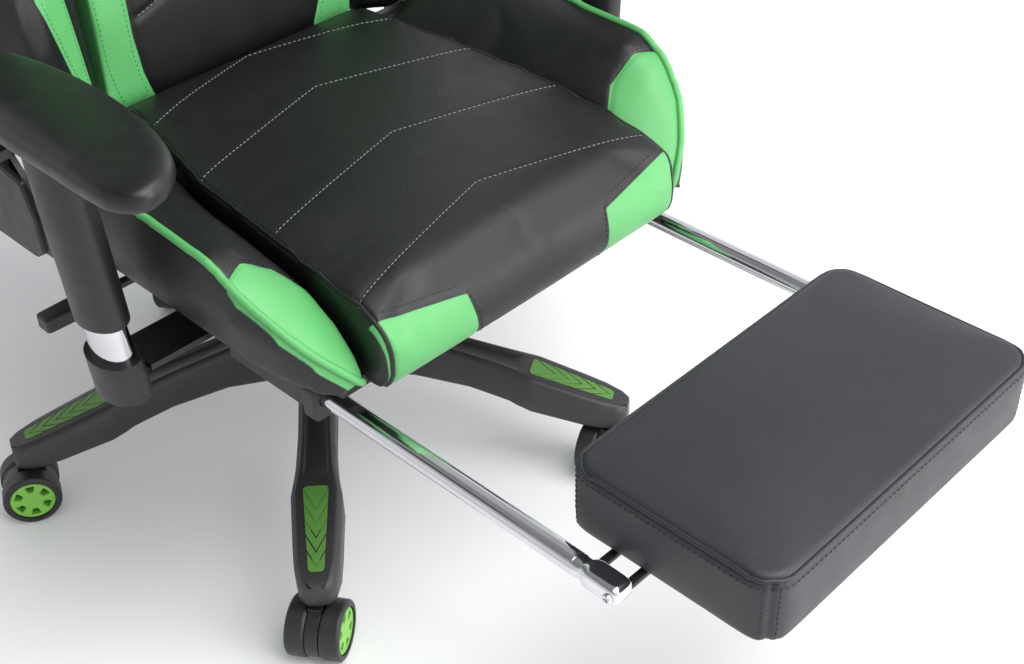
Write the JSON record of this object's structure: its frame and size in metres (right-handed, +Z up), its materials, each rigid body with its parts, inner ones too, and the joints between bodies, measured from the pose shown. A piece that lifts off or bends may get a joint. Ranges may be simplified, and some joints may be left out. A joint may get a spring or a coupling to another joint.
{
  "type": "gaming chair",
  "caption": "Racing-style gaming chair with bolstered seat and backrest, height-set armrests, star base on castors, gas lift and a pull-out flip-over padded footrest.",
  "frame": {"origin": "on the floor, on the vertical swivel axis at the centre of the star base", "axes": "+Z up; the sitter faces -Y; +X is the sitter's left"},
  "size_m": [0.7532, 1.0588, 1.25],
  "materials": {
    "seat_leather": "smooth coated upholstery, satin, fine grain",
    "pad_leather": "grained coated upholstery, satin",
    "armpad_black": "soft moulded skin, satin",
    "black_plastic": "fine textured moulding",
    "green_plastic": "fine matt moulding",
    "castor_green": "satin moulding",
    "tyre_black": "satin tread",
    "chrome": "polished plating",
    "black_metal": "semi-gloss powder coat",
    "bare_steel": "plain steel",
    "plywood": "bare plywood"
  },
  "bodies": {
    "base": {"star_base": "black_plastic", "leg_inserts": "green_plastic", "lift_column": "black_metal", "lift_bushing": "black_plastic", "dust_cover_outer": "black_plastic"},
    "dust_cover": {"dust_cover_middle": "black_plastic"},
    "lift_rod": {"lift_piston_rod": "bare_steel", "lift_thrust_bearing": "bare_steel"},
    "mechanism": {"lift_pressure_tube": "chrome", "mechanism_housing": "black_metal", "tilt_pin": "bare_steel", "tilt_spring": "bare_steel", "dust_cover_inner": "black_plastic"},
    "height_lever": {"height_lever_rod": "black_metal", "height_lever_paddle": "black_plastic"},
    "tension_knob": {"tension_knob": "black_plastic"},
    "seat": {"seat_plate": "black_metal", "seat_pan": "plywood", "seat_cushion": "seat_leather", "seat_bolsters": "seat_leather", "rail_guides": "black_plastic", "armrest_bars": "black_metal", "armrest_sockets": "black_plastic", "armrest_tubes": "chrome", "recliner_brackets": "black_metal", "recliner_pins": "bare_steel", "recliner_covers": "black_plastic"},
    "footrest_slide": {"footrest_rails": "chrome", "footrest_end_blocks": "chrome", "footrest_rods": "black_metal"},
    "footrest": {"footrest_board": "plywood", "footrest_pad": "pad_leather", "footrest_clips": "black_metal"},
    "armrest_left": {"armrest_sleeve_left": "black_plastic", "armrest_pad_left": "armpad_black"},
    "armrest_right": {"armrest_sleeve_right": "black_plastic", "armrest_pad_right": "armpad_black"},
    "armrest_tab_left": {"armrest_tab_left": "black_plastic"},
    "armrest_tab_right": {"armrest_tab_right": "black_plastic"},
    "recline_lever": {"recline_lever": "black_plastic"},
    "backrest": {"back_frame": "black_metal", "back_cushion": "seat_leather", "back_bolsters": "seat_leather", "back_head_cushion": "seat_leather", "back_rear_cover": "seat_leather"},
    "castor_1": {"castor_fork_1": "black_plastic"},
    "wheels_1": {"castor_tyres_1": "tyre_black", "castor_hubs_1": "castor_green"},
    "castor_2": {"castor_fork_2": "black_plastic"},
    "wheels_2": {"castor_tyres_2": "tyre_black", "castor_hubs_2": "castor_green"},
    "castor_3": {"castor_fork_3": "black_plastic"},
    "wheels_3": {"castor_tyres_3": "tyre_black", "castor_hubs_3": "castor_green"},
    "castor_4": {"castor_fork_4": "black_plastic"},
    "wheels_4": {"castor_tyres_4": "tyre_black", "castor_hubs_4": "castor_green"},
    "castor_5": {"castor_fork_5": "black_plastic"},
    "wheels_5": {"castor_tyres_5": "tyre_black", "castor_hubs_5": "castor_green"}
  },
  "joints": [
    {"name": "seat_swivel", "type": "hinge", "parent": "base", "child": "lift_rod", "pos_m": [0, 0, 0.08], "axis": [0, 0, 1], "continuous": true},
    {"name": "seat_height", "type": "slide", "parent": "lift_rod", "child": "mechanism", "axis": [0, 0, 1], "range_m": [0, 0.08]},
    {"name": "dust_cover_slide", "type": "slide", "parent": "base", "child": "dust_cover", "axis": [0, 0, 1], "range_m": [0, 0.04]},
    {"name": "seat_tilt", "type": "hinge", "parent": "mechanism", "child": "seat", "pos_m": [0, -0.038, 0.276], "axis": [-1, 0, 0], "range_deg": [0, 12], "stiffness_Nm_per_rad": 300, "springref_deg": -8.59, "deforming": ["tilt_spring"]},
    {"name": "tension_knob_turn", "type": "hinge", "parent": "seat", "child": "tension_knob", "pos_m": [0, -0.1, 0.197], "axis": [0, 0, 1], "continuous": true},
    {"name": "height_lever_lift", "type": "hinge", "parent": "mechanism", "child": "height_lever", "pos_m": [-0.04, 0.018, 0.298], "axis": [0, 1, 0], "range_deg": [0, 4]},
    {"name": "footrest_extend", "type": "slide", "parent": "seat", "child": "footrest_slide", "axis": [0, 1, 0], "range_m": [0, 0.15]},
    {"name": "footrest_flip", "type": "hinge", "parent": "footrest_slide", "child": "footrest", "pos_m": [0, -0.562, 0.311], "axis": [-1, 0, 0], "range_deg": [0, 180]},
    {"name": "armrest_left_height", "type": "slide", "parent": "seat", "child": "armrest_left", "axis": [0.061, 0, 0.9981], "range_m": [-0.034, 0.05]},
    {"name": "armrest_right_height", "type": "slide", "parent": "seat", "child": "armrest_right", "axis": [-0.061, 0, 0.9981], "range_m": [-0.034, 0.05]},
    {"name": "armrest_tab_left_lift", "type": "hinge", "parent": "armrest_left", "child": "armrest_tab_left", "pos_m": [0.33987, -0.12, 0.56599], "axis": [0, -1, 0], "range_deg": [0, 8], "stiffness_Nm_per_rad": 0.2, "springref_deg": -5.73},
    {"name": "armrest_tab_right_lift", "type": "hinge", "parent": "armrest_right", "child": "armrest_tab_right", "pos_m": [-0.33987, -0.12, 0.56599], "axis": [0, 1, 0], "range_deg": [0, 8], "stiffness_Nm_per_rad": 0.2, "springref_deg": -5.73},
    {"name": "backrest_recline", "type": "hinge", "parent": "seat", "child": "backrest", "pos_m": [0, 0.118, 0.402], "axis": [-1, 0, 0], "range_deg": [0, 65]},
    {"name": "recline_lever_pull", "type": "hinge", "parent": "seat", "child": "recline_lever", "pos_m": [-0.28, 0.118, 0.402], "axis": [-1, 0, 0], "range_deg": [0, 25], "stiffness_Nm_per_rad": 0.5, "springref_deg": -11.46},
    {"name": "castor_1_swivel", "type": "hinge", "parent": "base", "child": "castor_1", "pos_m": [-0.21162, -0.24004, 0.065], "axis": [0, 0, 1], "continuous": true},
    {"name": "castor_1_roll", "type": "hinge", "parent": "castor_1", "child": "wheels_1", "pos_m": [-0.2201, -0.24533, 0.03], "axis": [0.5299, -0.848, 0], "continuous": true},
    {"name": "castor_2_swivel", "type": "hinge", "parent": "base", "child": "castor_2", "pos_m": [0.16289, -0.27544, 0.065], "axis": [0, 0, 1], "continuous": true},
    {"name": "castor_2_roll", "type": "hinge", "parent": "castor_2", "child": "wheels_2", "pos_m": [0.1535, -0.27886, 0.03], "axis": [0.342, -0.9397, 0], "continuous": true},
    {"name": "castor_3_swivel", "type": "hinge", "parent": "base", "child": "castor_3", "pos_m": [0.31229, 0.06981, 0.065], "axis": [0, 0, 1], "continuous": true},
    {"name": "castor_3_roll", "type": "hinge", "parent": "castor_3", "child": "wheels_3", "pos_m": [0.31571, 0.06041, 0.03], "axis": [0.9397, 0.342, 0], "continuous": true},
    {"name": "castor_4_swivel", "type": "hinge", "parent": "base", "child": "castor_4", "pos_m": [0.03011, 0.31858, 0.065], "axis": [0, 0, 1], "continuous": true},
    {"name": "castor_4_roll", "type": "hinge", "parent": "castor_4", "child": "wheels_4", "pos_m": [0.02192, 0.31284, 0.03], "axis": [0.5736, -0.8192, 0], "continuous": true},
    {"name": "castor_5_swivel", "type": "hinge", "parent": "base", "child": "castor_5", "pos_m": [-0.29368, 0.12709, 0.065], "axis": [0, 0, 1], "continuous": true},
    {"name": "castor_5_roll", "type": "hinge", "parent": "castor_5", "child": "wheels_5", "pos_m": [-0.30259, 0.13163, 0.03], "axis": [-0.454, -0.891, 0], "continuous": true}
  ],
  "couplings": [
    {"joint": "dust_cover_slide", "follows": "seat_height", "ratio": 0.5}
  ]
}
